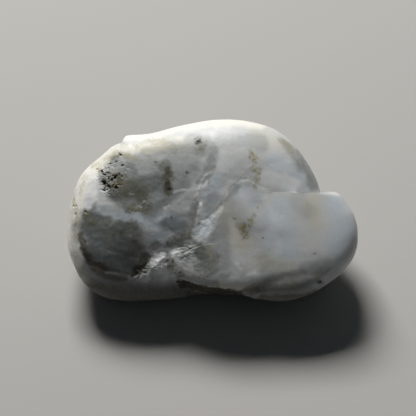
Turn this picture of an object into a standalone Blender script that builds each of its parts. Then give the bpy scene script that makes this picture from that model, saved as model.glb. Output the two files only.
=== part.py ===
"""A rough, water-worn lump of milky quartz, 60 mm long, as one solid.

The stone is drawn on its display face, the broad side that leans back from the front.
Face coordinates are in millimetres: u runs right, v runs up the face and w stands out of it.
Two rounded masses make the form: the back mass, and the front lobe that stands out at the right.
Breaks, a hollow, a groove, a ledge, patches of crystal grain and pits are then worked into their
common surface, and the underside is worn flat at z = 0, which is what the stone rests on.
"""

import math

import bmesh
import bpy
import numpy as np
from mathutils import Vector, noise

MM = 0.001

# The display face, and the point inside the stone that face coordinates are measured from.
FACE_LEAN = math.radians(48)
FACE_CENTRE = np.array([0.27, 3.69, 11.2])
FACE_RIGHT = np.array([1.0, 0.0, 0.0])
FACE_UP = np.array([0.0, math.sin(FACE_LEAN), math.cos(FACE_LEAN)])
FACE_OUT = np.array([0.0, -math.cos(FACE_LEAN), math.sin(FACE_LEAN)])

# The two masses. Each outline is (u, v) in mm on the face, anticlockwise from the right-hand end,
# and it lies in a sheet at w = middle + slope * v. Front and back are measured out from that sheet,
# and fullness is how squarely the mass fills its outline in front and at the back: 2 is an ellipse.
BACK_MASS = {
    "centre": (-4.0, 0.0),
    "outline": [
        (22.1, 1.0), (21.4, 4.9), (19.5, 9.0), (16.6, 13.1), (12.6, 16.3), (7.3, 18.0),
        (1.1, 18.2), (-6.9, 17.2), (-13.7, 15.1), (-19.7, 13.7), (-23.3, 10.8), (-27.2, 6.8),
        (-29.3, 1.0), (-29.8, -4.0), (-29.9, -9.5), (-28.1, -14.1), (-24.3, -17.1),
        (-19.0, -18.7), (-11.0, -18.5), (-3.0, -18.2), (5.0, -17.0), (13.9, -12.0), (19.8, -5.5),
    ],
    "front": 11.0,
    "back": 20.0,
    "middle": 5.0,
    "slope": -0.08,
    "fullness": (3.2, 2.2),
}
FRONT_LOBE = {
    "centre": (13.0, -7.3),
    "outline": [
        (29.5, -5.2), (28.7, -1.5), (26.9, 1.4), (25.1, 3.9), (22.5, 7.2), (17.8, 9.6), (11.0, 10.4),
        (3.5, 7.0), (-1.5, 1.0), (-6.5, -6.0), (-7.5, -12.0), (-3.0, -16.7), (4.0, -18.0),
        (8.7, -18.4), (13.4, -18.7), (17.9, -17.9), (22.0, -16.1), (26.0, -13.1), (28.7, -9.4),
    ],
    "front": 10.2,
    "back": 12.5,
    "middle": 5.6,
    "slope": -0.16,
    "fullness": (4.6, 2.3),
}

# The lobe's upper side is a flat break, which ends at this height.
SHELF_TOP = 3.3
SHELF_BLEND = 0.4

# The masses meet in a sharp crease along this stretch of the shelf, (u, v), and blend softly
# further from it than the soft reach.
CREASE = [(10.5, 3.6), (17.0, 3.5), (24.0, 3.4)]
CREASE_SHARP_REACH = 2.2
CREASE_SOFT_REACH = 9.0
SHARP_BLEND = 0.3
SOFT_BLEND = 3.0

# Old worn-down breaks round the back and underneath: the direction each faces, and how far it lies
# from the heart in mm.
BREAKS = [
    ((-0.50, 0.82, 0.28), 21.2),
    ((0.45, 0.86, -0.24), 16.8),
    ((-0.86, -0.10, -0.50), 28.7),
    ((0.15, 0.92, 0.36), 18.2),
    ((0.70, 0.30, -0.60), 19.6),
]
BREAK_BLEND = 3.0

# Broken edges on the face, as (u, v, step) in mm: ground on the right of the line, going along it,
# stands higher than ground on its left by the step.
PLATE_EDGE = [
    (-7.4, -14.2, 0.3), (-8.0, -11.5, 0.4), (-8.4, -9.1, 0.5), (-6.6, -8.0, 0.4), (-4.4, -7.2, 0.5),
    (-2.9, -5.4, 0.8), (-1.3, -3.7, 0.8), (0.3, -1.6, 0.5), (1.8, 0.9, 0.3), (3.3, 3.4, 0.2),
    (4.5, 4.9, 0.1), (6.9, 5.6, 0.1), (9.7, 4.3, 0.1), (12.4, 3.5, 0.0),
]
TERRACE_EDGE = [
    (-4.4, -5.4, 0.0), (-3.6, -3.3, 0.3), (-3.2, -0.9, 0.3), (-2.6, 1.3, 0.3), (-3.0, 4.3, 0.3),
    (-2.4, 6.0, 0.3), (-0.8, 7.4, 0.2), (0.0, 9.0, 0.2), (1.0, 11.9, 0.0),
]
SEAM_EDGE = [(-9.6, 3.6, 0.0), (-8.2, 3.7, 0.1), (-6.8, 3.7, 0.1), (-4.8, 4.0, 0.1), (-3.2, 4.5, 0.0)]
HOLLOW_EDGE = [
    (-27.4, -3.0, 0.0), (-27.2, -5.6, 0.2), (-26.2, -7.0, 0.2), (-25.8, -8.8, 0.3), (-25.9, -10.4, 0.2),
    (-25.0, -11.8, 0.2), (-22.3, -12.6, 0.2), (-19.2, -13.3, 0.2), (-16.4, -13.8, 0.2),
    (-14.2, -12.9, 0.4), (-12.4, -11.3, 0.6), (-11.3, -9.9, 0.6), (-9.6, -9.1, 0.2), (-8.4, -8.8, 0.0),
]
LIP_EDGE = [
    (8.0, -17.8, 0.0), (5.2, -17.1, 1.2), (1.7, -16.5, 2.2), (-1.8, -15.8, 2.4), (-4.8, -15.0, 2.4),
    (-7.4, -14.2, 1.6), (-9.6, -13.3, 0.0),
]
LEDGE_EDGE = [(-18.8, 11.0, 0.0), (-18.7, 12.8, 0.4), (-18.5, 14.6, 1.6), (-18.0, 18.0, 1.7)]
EDGES = [
    # line, width of the riser, how far its step is felt on the high and on the low side, and how
    # much of the step is sunk below the body
    (PLATE_EDGE, 2.0, 8.0, 5.0, 0.4),
    (TERRACE_EDGE, 1.0, 5.0, 6.0, 0.3),
    (SEAM_EDGE, 1.0, 3.0, 3.0, 0.5),
    (HOLLOW_EDGE, 2.0, 8.0, 7.0, 0.6),
    (LIP_EDGE, 1.2, 3.0, 3.5, 0.95),
    (LEDGE_EDGE, 1.6, 5.0, 1.5, 0.4),
]
RAGGED_BY = 0.3
RAGGED_PITCH = 2.6

# A point takes its step from the whole of a line, but far more from the part that is nearest.
NEARNESS = 6
NEARBY = 0.01

# The shallow groove under the lobe, (u, v, depth): below it the foot of the lobe rolls under.
GROOVE = [
    (4.2, -17.2, 0.0), (8.3, -15.9, 0.3), (12.3, -14.6, 0.3), (16.3, -13.9, 0.2), (18.6, -13.4, 0.1),
    (20.6, -13.8, 0.0),
]
GROOVE_WIDTH = 1.2

# Patches where the broken quartz shows its crystal grain: u, v, long and short radius, turn in
# degrees. The grain fades out between the two shares of those radii.
GRAIN_PATCHES = [
    (-1.6, -3.6, 3.9, 1.5, 45),
    (-5.6, -8.8, 2.6, 2.0, 20),
    (-11.1, -10.6, 2.4, 2.2, 40),
    (-14.7, -12.8, 2.2, 1.5, 45),
]
GRAIN_FADE = (0.6, 1.2)
GRAIN_HEIGHT = 0.4
GRAIN_PITCH = 2.1
GRAIN_BLUNTNESS = 1.5

# Solution pits, (u, v, radius, depth).
PITS = [
    (-22.3, 5.2, 1.0, 0.6), (-20.6, 5.0, 1.0, 0.6), (-20.1, 6.5, 0.8, 0.6), (-22.6, 7.2, 0.7, 0.5),
    (-19.1, 11.0, 0.7, 0.4), (-19.9, 9.7, 0.7, 0.4), (-18.5, 8.8, 0.7, 0.3), (-9.3, 6.8, 0.7, 0.2),
    (-3.2, 13.6, 0.7, 0.2), (-28.3, -0.8, 0.7, 0.3), (21.3, -14.6, 0.7, 0.4),
]

# The long, low swell of the whole surface.
SWELL_HEIGHT = 0.45
SWELL_PITCH = 11.0

# The face's features fade out round the back, between these two heights above the back mass's sheet.
FEATURES_FROM = (0.5, 5.5)

# The vertices are set out on rays from the heart, through a ball of these radii.
HEART = np.array([1.32, 2.73, 11.0])
BALL_RADII = np.array([30.0, 21.0, 16.0])
BALL_SUBDIVISIONS = 5
SEARCH_REACH = 45.0
SEARCH_HALVINGS = 34
NORMAL_NUDGE = 0.05

# Where there is fine work, edges longer than this are split.
FINE_EDGE = 0.9
FINE_MARGIN = 0.3
FINE_ROUNDS = 2
SMALLEST_STEP = 0.3
SHORTEST_EDGE = 0.1

SHARP_ANGLE = math.radians(40)


def smooth(low, high, value):
    """0 below low, 1 above high, and an easy S between."""
    t = np.clip((value - low) / (high - low), 0.0, 1.0)
    return t * t * (3.0 - 2.0 * t)


def face_coordinates(points):
    offset = points - FACE_CENTRE
    return offset @ FACE_RIGHT, offset @ FACE_UP, offset @ FACE_OUT


def through(points, steps=6):
    """A Catmull-Rom curve through the rows of an open line, as an array with the same columns."""
    line = np.array(points, float)
    ends = np.vstack([2 * line[0] - line[1], line, 2 * line[-1] - line[-2]])
    t = np.linspace(0.0, 1.0, steps, endpoint=False)[:, None]
    pieces = []
    for a, b, c, d in zip(ends, ends[1:], ends[2:], ends[3:]):
        pieces.append(
            0.5 * (2 * b + (c - a) * t + (2 * a - 5 * b + 4 * c - d) * t**2 + (3 * b - a - 3 * c + d) * t**3)
        )
    return np.vstack([*pieces, line[-1:]])


def from_line(u, v, line):
    """Signed distance from an open line, above 0 on its right, and the line's last column near there."""
    path = through(line)
    start, run = path[:-1], np.diff(path, axis=0)
    length2 = run[:, 0] ** 2 + run[:, 1] ** 2
    du, dv = u[:, None] - start[:, 0], v[:, None] - start[:, 1]
    along = np.clip((du * run[:, 0] + dv * run[:, 1]) / length2, 0.0, 1.0)
    gap = np.hypot(du - along * run[:, 0], dv - along * run[:, 1])
    near = gap.argmin(axis=1)
    row = np.arange(len(u))
    side = np.sign(run[near, 1] * du[row, near] - run[near, 0] * dv[row, near])
    weight = (gap + NEARBY) ** -NEARNESS
    column = start[:, -1] + along * run[:, -1]
    return side * gap[row, near], (weight * column).sum(axis=1) / weight.sum(axis=1)


def outline_reach(mass, angle):
    """How far the outline stands from the mass's centre at each angle round it."""
    corners = np.array(mass["outline"]) - mass["centre"]
    loop = through(np.vstack([corners[-2:], corners, corners[:2]]))
    turns = np.unwrap(np.arctan2(loop[:, 1], loop[:, 0]))
    reach = np.hypot(loop[:, 0], loop[:, 1])
    return np.interp(np.mod(angle - turns[0], 2 * math.pi) + turns[0], turns, reach)


def mass_field(mass, u, v, w):
    """Roughly the distance in mm outside the mass's surface, and below 0 inside it."""
    du, dv = u - mass["centre"][0], v - mass["centre"][1]
    reach = outline_reach(mass, np.arctan2(dv, du))
    out = w - mass["middle"] - mass["slope"] * v
    depth = np.where(out > 0, mass["front"], mass["back"])
    n = np.where(out > 0, *mass["fullness"])
    wide, deep = (np.hypot(du, dv) / reach) ** n, (np.abs(out) / depth) ** n
    tiny = 1e-9
    size = (wide * reach + deep * depth) / (wide + deep + tiny)
    return ((wide + deep) ** (1.0 / n) - 1.0) * size


def joined(first, second, blend):
    """The smaller of two distances, rounded over blend mm where they are alike."""
    share = np.clip(0.5 + 0.5 * (first - second) / blend, 0.0, 1.0)
    return first + (second - first) * share - blend * share * (1.0 - share)


def cut(first, second, blend):
    """The larger of two distances, rounded in the same way."""
    return -joined(-first, -second, blend)


def body_field(points):
    """The two masses, joined in a sharp crease along the shelf and softly elsewhere, less the breaks."""
    u, v, w = face_coordinates(points)
    lobe = cut(mass_field(FRONT_LOBE, u, v, w), v - SHELF_TOP, SHELF_BLEND)
    away = np.abs(from_line(u, v, CREASE)[0])
    blend = SHARP_BLEND + (SOFT_BLEND - SHARP_BLEND) * smooth(CREASE_SHARP_REACH, CREASE_SOFT_REACH, away)
    field = joined(mass_field(BACK_MASS, u, v, w), lobe, blend)
    for facing, far in BREAKS:
        direction = np.array(facing) / math.hypot(*facing)
        field = cut(field, (points - HEART) @ direction - far, BREAK_BLEND)
    return field


def on_body(rays):
    """Where rays from the heart meet the body, and the outward normals there."""
    low = np.zeros(len(rays))
    high = np.full(len(rays), SEARCH_REACH)
    for _ in range(SEARCH_HALVINGS):
        half = 0.5 * (low + high)
        inside = body_field(HEART + rays * half[:, None]) < 0.0
        low, high = np.where(inside, half, low), np.where(inside, high, half)
    points = HEART + rays * low[:, None]
    nudges = NORMAL_NUDGE * np.eye(3)
    normals = np.stack([body_field(points + n) - body_field(points - n) for n in nudges], axis=1)
    return points, normals / np.linalg.norm(normals, axis=1)[:, None]


def perlin(points, pitch, seed):
    """Smooth noise of this pitch in mm, its own for each whole-number seed."""
    shift = seed * Vector((17.3, 5.9, 31.7))
    return np.array([noise.noise(Vector(p) / pitch + shift) for p in points.tolist()])


def grain(points, share):
    """Blocky crystal grain in mm, worked out only where its share is above 0."""
    height = np.zeros(len(points))
    for index in np.nonzero(share)[0]:
        place = Vector(points[index].tolist()) / GRAIN_PITCH
        nearest, second = noise.voronoi(place, distance_metric="MANHATTAN")[0][:2]
        height[index] = min(1.0, GRAIN_BLUNTNESS * (second - nearest)) - 0.5
    return GRAIN_HEIGHT * height * share


def grain_share(u, v):
    share = np.zeros(len(u))
    for patch_u, patch_v, long_radius, short_radius, turn in GRAIN_PATCHES:
        c, s = math.cos(math.radians(turn)), math.sin(math.radians(turn))
        along = ((u - patch_u) * c + (v - patch_v) * s) / long_radius
        across = ((v - patch_v) * c - (u - patch_u) * s) / short_radius
        share = np.maximum(share, 1.0 - smooth(*GRAIN_FADE, np.hypot(along, across)))
    return share


def worked_height(points):
    """The height in mm that breakage and wear add to the body, and which points are on fine work."""
    u, v, w = face_coordinates(points)
    shown = smooth(*FEATURES_FROM, w - BACK_MASS["slope"] * v)
    ragged_u = u + RAGGED_BY * perlin(points, RAGGED_PITCH, 1)
    ragged_v = v + RAGGED_BY * perlin(points, RAGGED_PITCH, 2)
    height = SWELL_HEIGHT * perlin(points, SWELL_PITCH, 3)
    fine = (np.abs(from_line(u, v, CREASE)[0]) < SHELF_BLEND + FINE_MARGIN) & (w > 0.0)

    for line, riser, high_reach, low_reach, sunk in EDGES:
        gap, step = from_line(ragged_u, ragged_v, line)
        step = step * shown
        fade = np.exp(-((gap / np.where(gap > 0, high_reach, low_reach)) ** 2))
        height += step * (smooth(-riser / 2, riser / 2, gap) - sunk) * fade
        fine |= (np.abs(gap) < riser / 2 + FINE_MARGIN) & (step > SMALLEST_STEP)

    gap, depth = from_line(ragged_u, ragged_v, GROOVE)
    depth = depth * shown
    height -= depth * np.exp(-((gap / GROOVE_WIDTH) ** 2))
    fine |= (np.abs(gap) < 0.5 * GROOVE_WIDTH) & (depth > SMALLEST_STEP)

    share = grain_share(u, v) * shown
    height += grain(points, share)
    fine |= share > 0.0

    for pit_u, pit_v, radius, depth in PITS:
        away = np.hypot(ragged_u - pit_u, ragged_v - pit_v)
        height -= shown * depth * np.clip(1.0 - (away / radius) ** 2, 0.0, 1.0)
        fine |= (away < radius + FINE_MARGIN) & (shown > 0.0)
    return height, fine


def set_on_stone(mesh):
    """Moves every vertex to where its ray from the heart leaves the stone. Returns which are fine work."""
    rays = np.array([v.co for v in mesh.verts]) - HEART
    rays /= np.linalg.norm(rays, axis=1)[:, None]
    points, normals = on_body(rays)
    height, fine = worked_height(points)
    for vertex, place in zip(mesh.verts, points + normals * height[:, None]):
        vertex.co = place
    return fine


def wear_flat(mesh):
    """Cuts the mesh at z = 0 and closes it with the flat that the stone rests on."""
    everything = mesh.verts[:] + mesh.edges[:] + mesh.faces[:]
    made = bmesh.ops.bisect_plane(
        mesh, geom=everything, plane_co=(0, 0, 0), plane_no=(0, 0, -1), clear_outer=True
    )
    rim = [part for part in made["geom_cut"] if isinstance(part, bmesh.types.BMEdge)]
    bmesh.ops.contextual_create(mesh, geom=rim)
    bmesh.ops.dissolve_degenerate(mesh, dist=SHORTEST_EDGE, edges=mesh.edges[:])
    bmesh.ops.triangulate(mesh, faces=[face for face in mesh.faces if len(face.verts) > 3])
    bmesh.ops.recalc_face_normals(mesh, faces=mesh.faces[:])


def stone_mesh():
    mesh = bmesh.new()
    bmesh.ops.create_icosphere(mesh, subdivisions=BALL_SUBDIVISIONS, radius=1.0)
    for vertex in mesh.verts:
        vertex.co = Vector(HEART + np.array(vertex.co) * BALL_RADII)
    fine = set_on_stone(mesh)
    for _ in range(FINE_ROUNDS):
        mesh.verts.index_update()
        coarse = [
            edge for edge in mesh.edges
            if edge.calc_length() > FINE_EDGE and any(fine[vertex.index] for vertex in edge.verts)
        ]
        bmesh.ops.subdivide_edges(mesh, edges=coarse, cuts=1)
        bmesh.ops.triangulate(mesh, faces=mesh.faces[:])
        fine = set_on_stone(mesh)
    wear_flat(mesh)
    return mesh


def quartz_material():
    material = bpy.data.materials.new("milky_quartz")
    material.use_nodes = True
    shader = material.node_tree.nodes["Principled BSDF"]
    shader.inputs["Base Color"].default_value = (0.62, 0.64, 0.63, 1.0)
    shader.inputs["Roughness"].default_value = 0.42
    shader.inputs["Metallic"].default_value = 0.0
    return material


def add_stone():
    mesh = stone_mesh()
    # The origin is the middle of the stone's bounding box, on the surface that it rests on.
    places = np.array([vertex.co for vertex in mesh.verts])
    middle = (places.min(axis=0) + places.max(axis=0)) / 2
    bmesh.ops.translate(mesh, verts=mesh.verts[:], vec=(-middle[0], -middle[1], 0.0))
    bmesh.ops.scale(mesh, verts=mesh.verts[:], vec=(MM, MM, MM))
    data = bpy.data.meshes.new("quartz_stone")
    mesh.to_mesh(data)
    mesh.free()
    data.shade_smooth()
    data.set_sharp_from_angle(angle=SHARP_ANGLE)
    data.materials.append(quartz_material())
    stone = bpy.data.objects.new("quartz_stone", data)
    bpy.context.scene.collection.objects.link(stone)


for old in list(bpy.data.objects):
    bpy.data.objects.remove(old)
add_stone()
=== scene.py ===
"""A rough, water-worn lump of milky quartz, 60 mm long, lying on a pale table."""

import math

import bmesh
import bpy
import numpy as np
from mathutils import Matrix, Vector, noise


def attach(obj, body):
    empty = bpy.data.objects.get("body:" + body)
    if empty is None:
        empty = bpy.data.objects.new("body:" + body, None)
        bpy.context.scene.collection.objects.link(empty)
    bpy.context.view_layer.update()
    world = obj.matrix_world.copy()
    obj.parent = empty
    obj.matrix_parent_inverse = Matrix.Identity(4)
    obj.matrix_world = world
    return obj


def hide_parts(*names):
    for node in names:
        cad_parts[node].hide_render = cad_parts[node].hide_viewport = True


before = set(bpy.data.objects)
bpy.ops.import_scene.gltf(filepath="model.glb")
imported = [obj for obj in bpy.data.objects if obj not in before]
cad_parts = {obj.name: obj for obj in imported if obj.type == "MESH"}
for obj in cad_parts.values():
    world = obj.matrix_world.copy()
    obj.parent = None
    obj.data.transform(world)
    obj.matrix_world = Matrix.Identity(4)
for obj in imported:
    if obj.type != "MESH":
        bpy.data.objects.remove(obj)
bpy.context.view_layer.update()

# ------------------------------------------------------------------------------------------------
# The stone
#
# A piece of vein quartz, broken out of its vein and then rolled smooth by water. It is milky all
# through, because tiny bubbles and healed cracks scatter the light. Clearer quartz shows grey, fresh
# breaks show white, and iron has stained the pits and cracks ochre and olive.
# ------------------------------------------------------------------------------------------------

MM = 0.001

# The stone is drawn on its display face, which leans back from the front. Face coordinates are in
# mm: u runs right, v runs up the face and w stands out of it.
FACE_LEAN = math.radians(48)
FACE_CENTRE = np.array([0.27, 3.58, 11.2])
FACE_RIGHT = np.array([1.0, 0.0, 0.0])
FACE_UP = np.array([0.0, math.sin(FACE_LEAN), math.cos(FACE_LEAN)])
FACE_OUT = np.array([0.0, -math.cos(FACE_LEAN), math.sin(FACE_LEAN)])

# Two rounded masses: the back mass, and the front lobe that stands out at the right. Each outline is
# (u, v), anticlockwise from the right-hand end, in a sheet at w = middle + slope * v. Front and back
# are measured out from that sheet, and fullness is how squarely the mass fills its outline there.
BACK_MASS = {
    "centre": (-4.0, 0.0),
    "outline": [
        (22.1, 1.0), (21.4, 4.9), (19.5, 9.0), (16.6, 13.1), (12.6, 16.3), (7.3, 18.0),
        (1.1, 18.2), (-6.9, 17.2), (-13.7, 15.1), (-19.7, 13.7), (-23.3, 10.8), (-27.2, 6.8),
        (-29.3, 1.0), (-29.8, -4.0), (-29.9, -9.5), (-28.1, -14.1), (-24.3, -17.1),
        (-19.0, -18.7), (-11.0, -18.5), (-3.0, -18.2), (5.0, -17.0), (13.9, -12.0), (19.8, -5.5),
    ],
    "front": 11.0,
    "back": 20.0,
    "middle": 5.0,
    "slope": -0.08,
    "fullness": (3.2, 2.2),
}
FRONT_LOBE = {
    "centre": (13.0, -7.3),
    "outline": [
        (29.5, -5.2), (28.7, -1.5), (26.9, 1.4), (25.1, 3.9), (22.5, 7.2), (17.8, 9.6), (11.0, 10.4),
        (3.5, 7.0), (-1.5, 1.0), (-6.5, -6.0), (-7.5, -12.0), (-3.0, -16.7), (4.0, -18.0),
        (8.7, -18.4), (13.4, -18.7), (17.9, -17.9), (22.0, -16.1), (26.0, -13.1), (28.7, -9.4),
    ],
    "front": 10.2,
    "back": 12.5,
    "middle": 5.6,
    "slope": -0.16,
    "fullness": (4.6, 2.3),
}
SHELF_TOP = 3.3
SHELF_BLEND = (0.06, 1.0)
SHELF_ROUNDED = (18.0, 26.0)
CREASE = [(10.5, 3.6), (17.0, 3.5), (24.0, 3.4)]
CREASE_SHARP_REACH = 2.2
CREASE_SOFT_REACH = 9.0
SHARP_BLEND = 0.25
SOFT_BLEND = 3.0

# Old worn-down breaks round the back and underneath: the direction each faces, and how far it lies
# from the heart.
BREAKS = [
    ((-0.50, 0.82, 0.28), 21.2),
    ((0.45, 0.86, -0.24), 16.8),
    ((-0.86, -0.10, -0.50), 28.7),
    ((0.15, 0.92, 0.36), 18.2),
    ((0.70, 0.30, -0.60), 19.6),
]
BREAK_BLEND = 3.0

# Broken edges on the face, as (u, v, step, riser width). Going along a line, the ground on its right
# stands higher by the step.
PLATE_EDGE = [
    (-7.4, -14.2, 0.3, 1.0), (-8.0, -11.5, 0.4, 1.0), (-8.4, -9.1, 0.5, 1.2), (-6.6, -8.0, 0.35, 1.6),
    (-4.4, -7.2, 0.45, 2.4), (-2.9, -5.4, 0.75, 3.2), (-1.3, -3.7, 0.7, 3.2), (0.3, -1.6, 0.45, 2.4),
    (1.8, 0.9, 0.2, 0.8), (3.3, 3.4, 0.1, 0.5), (4.5, 4.9, 0.06, 0.4), (6.9, 5.6, 0.06, 0.4),
    (9.7, 4.3, 0.05, 0.4), (12.4, 3.5, 0.0, 0.4),
]
TERRACE_EDGE = [
    (-4.4, -5.4, 0.0, 0.7), (-3.6, -3.3, 0.25, 0.7), (-3.2, -0.9, 0.25, 0.7), (-2.6, 1.3, 0.25, 0.6),
    (-3.0, 4.3, 0.25, 0.7), (-2.4, 6.0, 0.25, 0.8), (-0.8, 7.4, 0.2, 1.1), (0.0, 9.0, 0.15, 1.2),
    (1.0, 11.9, 0.0, 1.2),
]
SEAM_EDGE = [
    (-9.6, 3.6, 0.0, 0.4), (-8.2, 3.7, 0.03, 0.4), (-6.8, 3.7, 0.04, 0.4), (-4.8, 4.0, 0.04, 0.4),
    (-3.2, 4.5, 0.0, 0.4),
]
HOLLOW_EDGE = [
    (-27.4, -3.0, 0.0, 0.8), (-27.2, -5.6, 0.15, 0.7), (-26.2, -7.0, 0.2, 0.6), (-25.8, -8.8, 0.25, 0.6),
    (-25.9, -10.4, 0.2, 0.9), (-25.0, -11.8, 0.2, 0.9), (-22.3, -12.6, 0.2, 0.9),
    (-19.2, -13.3, 0.2, 0.9), (-16.4, -13.8, 0.2, 1.2), (-14.2, -12.9, 0.3, 2.0),
    (-12.4, -11.3, 0.6, 2.8), (-11.3, -9.9, 0.6, 2.4), (-9.6, -9.1, 0.2, 1.6), (-8.4, -8.8, 0.0, 1.2),
]
LIP_EDGE = [
    (8.0, -17.8, 0.0, 1.2), (5.2, -17.1, 1.2, 1.2), (1.7, -16.5, 2.2, 1.2), (-1.8, -15.8, 2.4, 1.2),
    (-4.8, -15.0, 2.4, 1.1), (-7.4, -14.2, 1.6, 1.0), (-9.6, -13.3, 0.0, 1.0),
]
LEDGE_EDGE = [
    (-18.8, 11.0, 0.0, 1.5), (-18.7, 12.8, 0.4, 1.6), (-18.5, 14.6, 1.6, 1.6), (-18.0, 18.0, 1.7, 1.5),
]
EDGES = [
    # line, how far its step is felt on the high and on the low side, and how much of it is sunk
    (PLATE_EDGE, 8.0, 5.0, 0.4),
    (TERRACE_EDGE, 5.0, 6.0, 0.3),
    (SEAM_EDGE, 3.0, 3.0, 0.5),
    (HOLLOW_EDGE, 8.0, 7.0, 0.6),
    (LIP_EDGE, 3.0, 3.5, 0.95),
    (LEDGE_EDGE, 5.0, 1.5, 0.4),
]
RAGGED = [(2.6, 0.3), (1.0, 0.16), (0.45, 0.06)]

# A point takes its step from the whole of a line, but far more from the part that is nearest.
NEARNESS = 6
NEARBY = 0.01

# Smooth noise is moved this far for each whole number that it is seeded with.
SEED_SHIFT = Vector((17.3, 5.9, 31.7))
OCTAVE_SEEDS = 10

# The shallow groove under the lobe, (u, v, depth): below it the foot of the lobe rolls under.
GROOVE = [
    (4.2, -17.2, 0.0), (8.3, -15.9, 0.2), (12.3, -14.6, 0.2), (16.3, -13.9, 0.12), (18.6, -13.4, 0.08),
    (20.6, -13.8, 0.0),
]
GROOVE_WIDTH = 1.2

# Broken crystal: u, v, long and short radius, turn in degrees, and how rough it is.
GRAIN_PATCHES = [
    (-1.6, -3.6, 3.9, 1.5, 45, 0.15),
    (-5.6, -8.8, 2.6, 2.0, 20, 0.5),
    (-11.1, -10.6, 2.4, 2.2, 40, 0.55),
    (-14.7, -12.8, 2.2, 1.5, 45, 0.6),
]
PATCH_FADE = (0.6, 1.2)
GRAIN_HEIGHT = 0.3
GRAIN_PITCH = 2.1
GRAIN_BLUNTNESS = 1.5

# Small facets break the crystals up. Each one's tilt is drawn at its middle, times the shuffle.
FACET_PITCH = 0.9
FACET_TILT = 0.25
FACET_SHUFFLE = 7.0

# The broken band between the lobe and the back mass is ribbed along its length.
RIBBED_BAND = (-1.6, -3.6, 4.4, 1.7, 45, 1.0)
RIBS = [(1.3, 0.06), (0.5, 0.035)]
RIB_STRETCH = 3.5

# Solution pits, (u, v, radius, depth), and the crumbling ground round most of them.
PITS = [
    (-23.9, 8.1, 0.2, 0.3), (-22.9, 7.6, 0.25, 0.5), (-22.3, 6.9, 0.25, 0.5), (-21.6, 6.2, 0.2, 0.4),
    (-19.1, 11.0, 0.25, 0.4), (-19.9, 9.8, 0.2, 0.4), (-21.3, 9.4, 0.2, 0.3), (-18.5, 8.8, 0.2, 0.3),
    (-19.9, 6.5, 0.35, 0.6), (-20.6, 5.8, 0.3, 0.5), (-22.3, 5.2, 0.35, 0.6), (-22.2, 3.9, 0.3, 0.5),
    (-21.2, 4.4, 0.3, 0.5), (-19.8, 4.2, 0.3, 0.5), (-21.4, 3.0, 0.2, 0.3), (-9.3, 6.8, 0.25, 0.1),
    (-9.1, 3.9, 0.3, 0.15), (-3.2, 13.6, 0.25, 0.2), (-5.5, 7.2, 0.15, 0.15), (-28.4, 0.4, 0.2, 0.25),
    (-28.0, -1.1, 0.2, 0.25), (-26.0, -0.7, 0.2, 0.2), (21.3, -14.6, 0.25, 0.4),
]
TORN = [(1.3, 0.3), (0.5, 0.35)]
CRUMBLED_PATCHES = [
    (-20.6, 6.6, 4.2, 3.0, 62, 1.0),
    (-14.7, -12.8, 2.2, 1.4, 45, 1.0),
]
CRUMBS = [(0.9, 0.7), (0.4, 0.5)]
CRUMBS_FROM = (0.1, 0.45)
CRUMB_DEPTH = 0.2

# The hidden side is pitted in loose patches.
BACK_PATCH_PITCH = 9.0
BACK_PATCHES_FROM = (0.05, 0.3)
BACK_PIT_PITCH = 1.3
BACK_PITS_FROM = (0.2, 0.5)
BACK_PIT_DEPTH = 0.3

# The long, low swell of the whole surface, and the fine unevenness of its worn skin.
SWELL = [(11.0, 0.45)]
SKIN = [(3.2, 0.09), (1.5, 0.045), (0.7, 0.025)]

# The lobe and the top of the stone are worn smoothest: u, v, radii, turn, and how smooth.
POLISHED = [(15.0, -3.0, 17.0, 13.0, 0, 0.75), (2.0, 13.5, 24.0, 6.0, 0, 0.6)]

# The face's features fade out round the back, between these two heights. Both are levelled: the slope
# of the back mass's sheet is taken off, and the sheet itself then lies at its middle.
FEATURES_FROM = (0.5, 5.5)

# The vertices are set out on rays from the heart, through a ball of these radii. They are closer
# together on the face, and closest on broken and crumbling ground.
HEART = np.array([1.32, 2.62, 11.0])
BALL_RADII = np.array([30.0, 21.0, 16.0])
BALL_SUBDIVISIONS = 7
SEARCH_REACH = 45.0
SEARCH_HALVINGS = 30
NORMAL_NUDGE = 0.05
FACE_EDGE = 0.27
FINE_EDGE = 0.16
FINE_PATCH_RIM = 1.25
CREST_EDGE = 0.1
CREST_RIM = 0.5

# Edges that fold more sharply than this stay crisp.
CRISP_ANGLE = math.radians(40)

# Painted shade along the top of the shelf darkens the highlight that its crest would catch.
SHELF_SHADE = (0.1, 0.3)
SHELF_SHADE_FROM = (9.0, 12.0)
SHELF_SHADE_TO = (20.0, 27.0)

# A pit or a stroke is at its full up to the first of these shares of its radius, and gone by the last.
FADE = (0.5, 1.5)
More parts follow.
